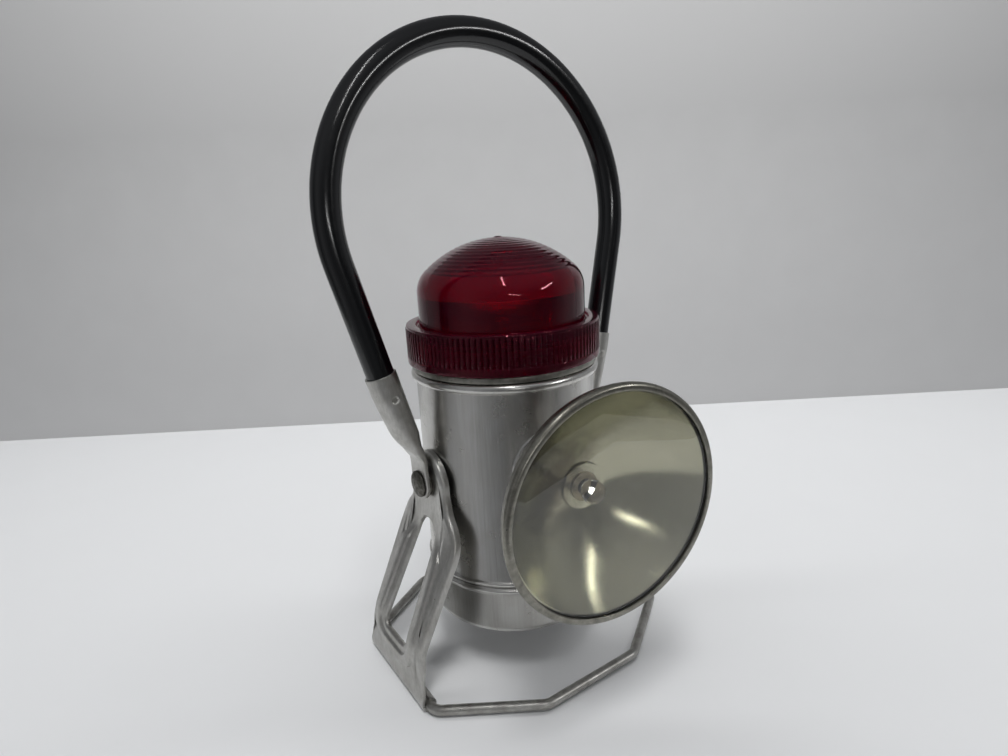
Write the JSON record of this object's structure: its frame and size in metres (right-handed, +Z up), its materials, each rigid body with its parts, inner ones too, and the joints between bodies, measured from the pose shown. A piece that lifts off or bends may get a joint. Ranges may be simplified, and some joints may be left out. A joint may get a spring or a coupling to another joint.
{
  "type": "railroad lantern",
  "caption": "Battery hand lantern with a ruby dome lamp on top, a round spotlight in front, pressed legs on a wire base and a swinging bail handle.",
  "frame": {"origin": "on the case axis, in the plane of the table that the base stands on", "axes": "+Z up along the case axis; -Y is the front, where the spotlight looks out, turned 7 degrees towards -X; +X is the lantern's left-hand bail pivot seen from behind"},
  "size_m": [0.1782, 0.1701, 0.3201],
  "materials": {
    "satin_aluminium": "satin drawn sheet, lightly scratched",
    "pressed_aluminium": "pressed sheet, dull and scuffed",
    "wire_steel": "plated wire, dull",
    "rivet_steel": "dark plated steel",
    "collar_metal": "turned ring, dull grey",
    "ruby_plastic": "moulded transparent ruby",
    "bezel_metal": "worn plated ring with pits",
    "mirror_metal": "polished reflector and lamp seat",
    "clear_glass": "clear polished glass",
    "black_vinyl": "smooth glossy vinyl sleeve",
    "brass": "plain stamped brass",
    "fibre_board": "brown hard fibre",
    "black_rubber": "plain gasket",
    "battery_case": "plain wrapped battery",
    "spring_steel": "bright spring wire",
    "switch_metal": "nickel plated"
  },
  "bodies": {
    "lantern": {"case_tube": "satin_aluminium", "bottom_cup": "satin_aluminium", "spot_housing": "satin_aluminium", "spot_neck": "satin_aluminium", "left_leg": "pressed_aluminium", "right_leg": "pressed_aluminium", "pivot_spacers": "pressed_aluminium", "base_wire": "wire_steel", "pivot_rivets": "rivet_steel", "pivot_washers": "rivet_steel", "spot_lock_nut": "rivet_steel", "neck_collar": "collar_metal", "spot_bezel": "bezel_metal", "spot_reflector": "mirror_metal", "dome_reflector": "mirror_metal", "spot_socket": "mirror_metal", "spot_lens": "clear_glass", "spot_bulb_glass": "clear_glass", "dome_bulb_glass": "clear_glass", "battery_contacts": "brass", "dome_contact_strip": "brass", "dome_socket": "brass", "dome_bulb_base": "brass", "spot_bulb_base": "brass", "contact_plate": "fibre_board", "spot_insulator": "fibre_board", "switch_body": "fibre_board", "spot_gasket": "black_rubber", "battery": "battery_case", "battery_springs": "spring_steel", "switch_bushing": "switch_metal", "switch_nut": "switch_metal"},
    "lens_seat": {"lens_gasket": "black_rubber"},
    "dome": {"dome_lens": "ruby_plastic"},
    "lever": {"switch_lever": "switch_metal"},
    "bail": {"handle_tube": "black_vinyl", "left_ferrule": "pressed_aluminium", "right_ferrule": "pressed_aluminium"}
  },
  "joints": [
    {"name": "bail_swing", "type": "hinge", "parent": "lantern", "child": "bail", "pos_m": [0, 0, 0.1027], "axis": [1, 0, 0], "range_deg": [-96, 103]},
    {"name": "lens_lift", "type": "slide", "parent": "lantern", "child": "lens_seat", "axis": [0, 0, 1], "range_m": [0, 0.008]},
    {"name": "lens_turn", "type": "hinge", "parent": "lens_seat", "child": "dome", "pos_m": [0, 0, 0.17], "axis": [0, 0, 1], "range_deg": [0, 720]},
    {"name": "switch_toggle", "type": "hinge", "parent": "lantern", "child": "lever", "pos_m": [0, 0.05, 0.1335], "axis": [1, 0, 0], "range_deg": [-13, 13]}
  ],
  "couplings": [
    {"joint": "lens_lift", "follows": "lens_turn", "m_per_rad": 0.00063662}
  ]
}
